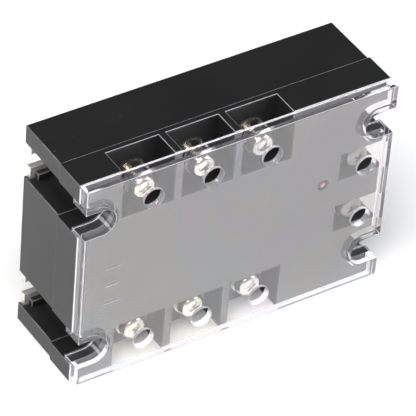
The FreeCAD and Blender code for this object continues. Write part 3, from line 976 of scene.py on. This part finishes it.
def add_washer(terminal, turn, kind):
    arc, closed, climb = KINDS[kind]
    node = terminal.format(kind)
    centre, size = middle_of(node)
    values = {
        "Middle Radius": (size.x + WASHER_BORE) / 4 - CLEAR,
        "Width": (size.x - WASHER_BORE) / 2, "Thickness": size.y - climb - 2 * CLEAR,
        "Round": WASHER_ROUND, "Sweep": arc, "Closed": closed, "Climb": climb,
        "Turn": 2.2 * turn + 1.0, "Seat": tuple(centre),
        "Material": metal_for(terminal, washer_steel),
    }
    stands_for(grown(node + "_made", RING, values), node)


print(len(KINDS), "kinds of washer")

# %% [markdown]
# Each terminal gets its screw and two washers where the model has them. The screws were driven
# by hand, so each cross stands at its own angle. Each made piece rides on the body of the node
# that it replaces.

# %% Every terminal's fastening
TURNS = (0.55, 1.25, 0.2, 0.95, 0.35, 0.7, 1.1, 0.45)

for terminal, turn in zip(TERMINALS, TURNS):
    add_screw(terminal, turn)
    for kind in KINDS:
        add_washer(terminal, turn, kind)

# %% [markdown]
# The terminal posts are turned parts with a square foot. Only their round tops show in the bays,
# so a rounded copy of the solid is enough, and the rings round them are painted shade in their
# material.

# %% Terminal posts
POST_ROUND = 0.00015

for terminal in TERMINALS:
    node = terminal.format("terminal")
    shape = round_edges(merged_copy(node), POST_ROUND)
    stands_for(as_piece(shape, node + "_made", post_nickel), node)

# %% [markdown]
# ## Inside the housing
#
# The pieces inside keep their engineering shapes, because nobody sees them until the relay is
# taken apart. They still get real finishes. Most are a mottle of two colours. The board is solder
# mask with its copper showing faintly through. The indicator lamp is a pale core in a dark ring.

# %% Finishes of the inner pieces
FINE_DEPTH = 0.00001


def simple(first, second, scale, rough, depth=FINE_DEPTH, metal=0.0):
    """A mottle of two colours, with a finer noise in its roughness and its bumps."""
    def paint(board):
        cloud, fine = noise(board, scale, 4.0), noise(board, scale * 9, 3.0)
        colour = board.blend(board.between(cloud, 0.3, 0.7), first, second)
        inputs = {
            "Base Color": colour, "Metallic": metal, "Roughness": rough + 0.15 * (fine - 0.5),
            "Normal": bumped(board, fine, depth, 0.4),
        }
        return board.node("ShaderNodeBsdfPrincipled", inputs=inputs)
    return paint


def circuit_board(board):
    tracks = board.node(
        "ShaderNodeTexBrick", {"offset": 0.37},
        {
            "Vector": board.node(
                "ShaderNodeMapping",
                inputs={"Vector": place_of(board), "Rotation": (math.pi / 2, 0, 0)},
            ),
            "Color1": (0.02, 0.16, 0.06, 1), "Color2": (0.015, 0.12, 0.05, 1),
            "Mortar": (0.05, 0.30, 0.10, 1), "Scale": 260.0, "Mortar Size": 0.05,
        },
    )
    weave = noise(board, 1400.0)
    inputs = {
        "Base Color": board.blend(0.2 * weave, tracks, (0.01, 0.08, 0.03, 1)),
        "Roughness": 0.28 + 0.2 * weave, "Normal": bumped(board, weave, FINE_DEPTH, 0.3),
    }
    return board.node("ShaderNodeBsdfPrincipled", inputs=inputs)


LAMP = middle_of("status_led")[0]
CORE_STARTS, CORE_FULL = 0.0011, 0.0004


def lamp_lens(board):
    """Coloured by the distance from the lamp's axis, which lies along Y."""
    ripple = noise(board, 700.0, 3.0)
    apart = board.node("ShaderNodeSeparateXYZ", inputs={0: place_of(board)})
    out = board.math("SQRT", (apart - LAMP.x) ** 2.0 + (apart.out("Z") - LAMP.z) ** 2.0)
    core = board.between(out, CORE_STARTS, CORE_FULL)
    inputs = {
        "Base Color": board.blend(core, (0.02, 0.012, 0.012, 1), (0.50, 0.30, 0.29, 1)),
        "Roughness": 0.6 - 0.4 * core + 0.1 * ripple, "Coat Weight": 0.5 * core,
        "Normal": bumped(board, ripple, FINE_DEPTH, 0.3),
    }
    return board.node("ShaderNodeBsdfPrincipled", inputs=inputs)


print("finishes ready")

# %% [markdown]
# The record names a material slot for each piece, so one pass over it gives every inner piece the
# finish of its slot.

# %% Inner pieces
INNER = {
    "substrate_ceramic": simple((0.78, 0.77, 0.73, 1), (0.70, 0.69, 0.66, 1), 420.0, 0.6),
    "silicon": simple((0.10, 0.11, 0.14, 1), (0.16, 0.16, 0.18, 1), 300.0, 0.2),
    "copper": simple((0.72, 0.36, 0.22, 1), (0.48, 0.22, 0.13, 1), 240.0, 0.32, metal=1.0),
    "board_green": circuit_board,
    "component_black": simple((0.02, 0.02, 0.022, 1), (0.035, 0.035, 0.035, 1), 500.0, 0.5),
    "resistor_body": simple((0.42, 0.36, 0.26, 1), (0.50, 0.44, 0.33, 1), 380.0, 0.45),
    "capacitor_film": simple((0.62, 0.40, 0.06, 1), (0.55, 0.34, 0.05, 1), 200.0, 0.35),
    "lamp_red": lamp_lens,
    "gel": simple((0.42, 0.42, 0.40, 1), (0.50, 0.50, 0.47, 1), 90.0, 0.3, 0.00006),
}
FINISHES = {slot: surface_of(slot + "_finish", paint) for slot, paint in INNER.items()}
kept = 0
for entry in frame["record"]["subparts"]:
    if entry["material_slot"] in FINISHES:
        for place in frame["nodes"][entry["node"]].material_slots:
            place.material = FINISHES[entry["material_slot"]]
        kept += 1
print(kept, "inner pieces finished")

# %% [markdown]
# The engineering model's box was measured at the start, as `CAD_BOX`. The visual model
# may not outgrow the engineering one.

# %% End
print("scene built")
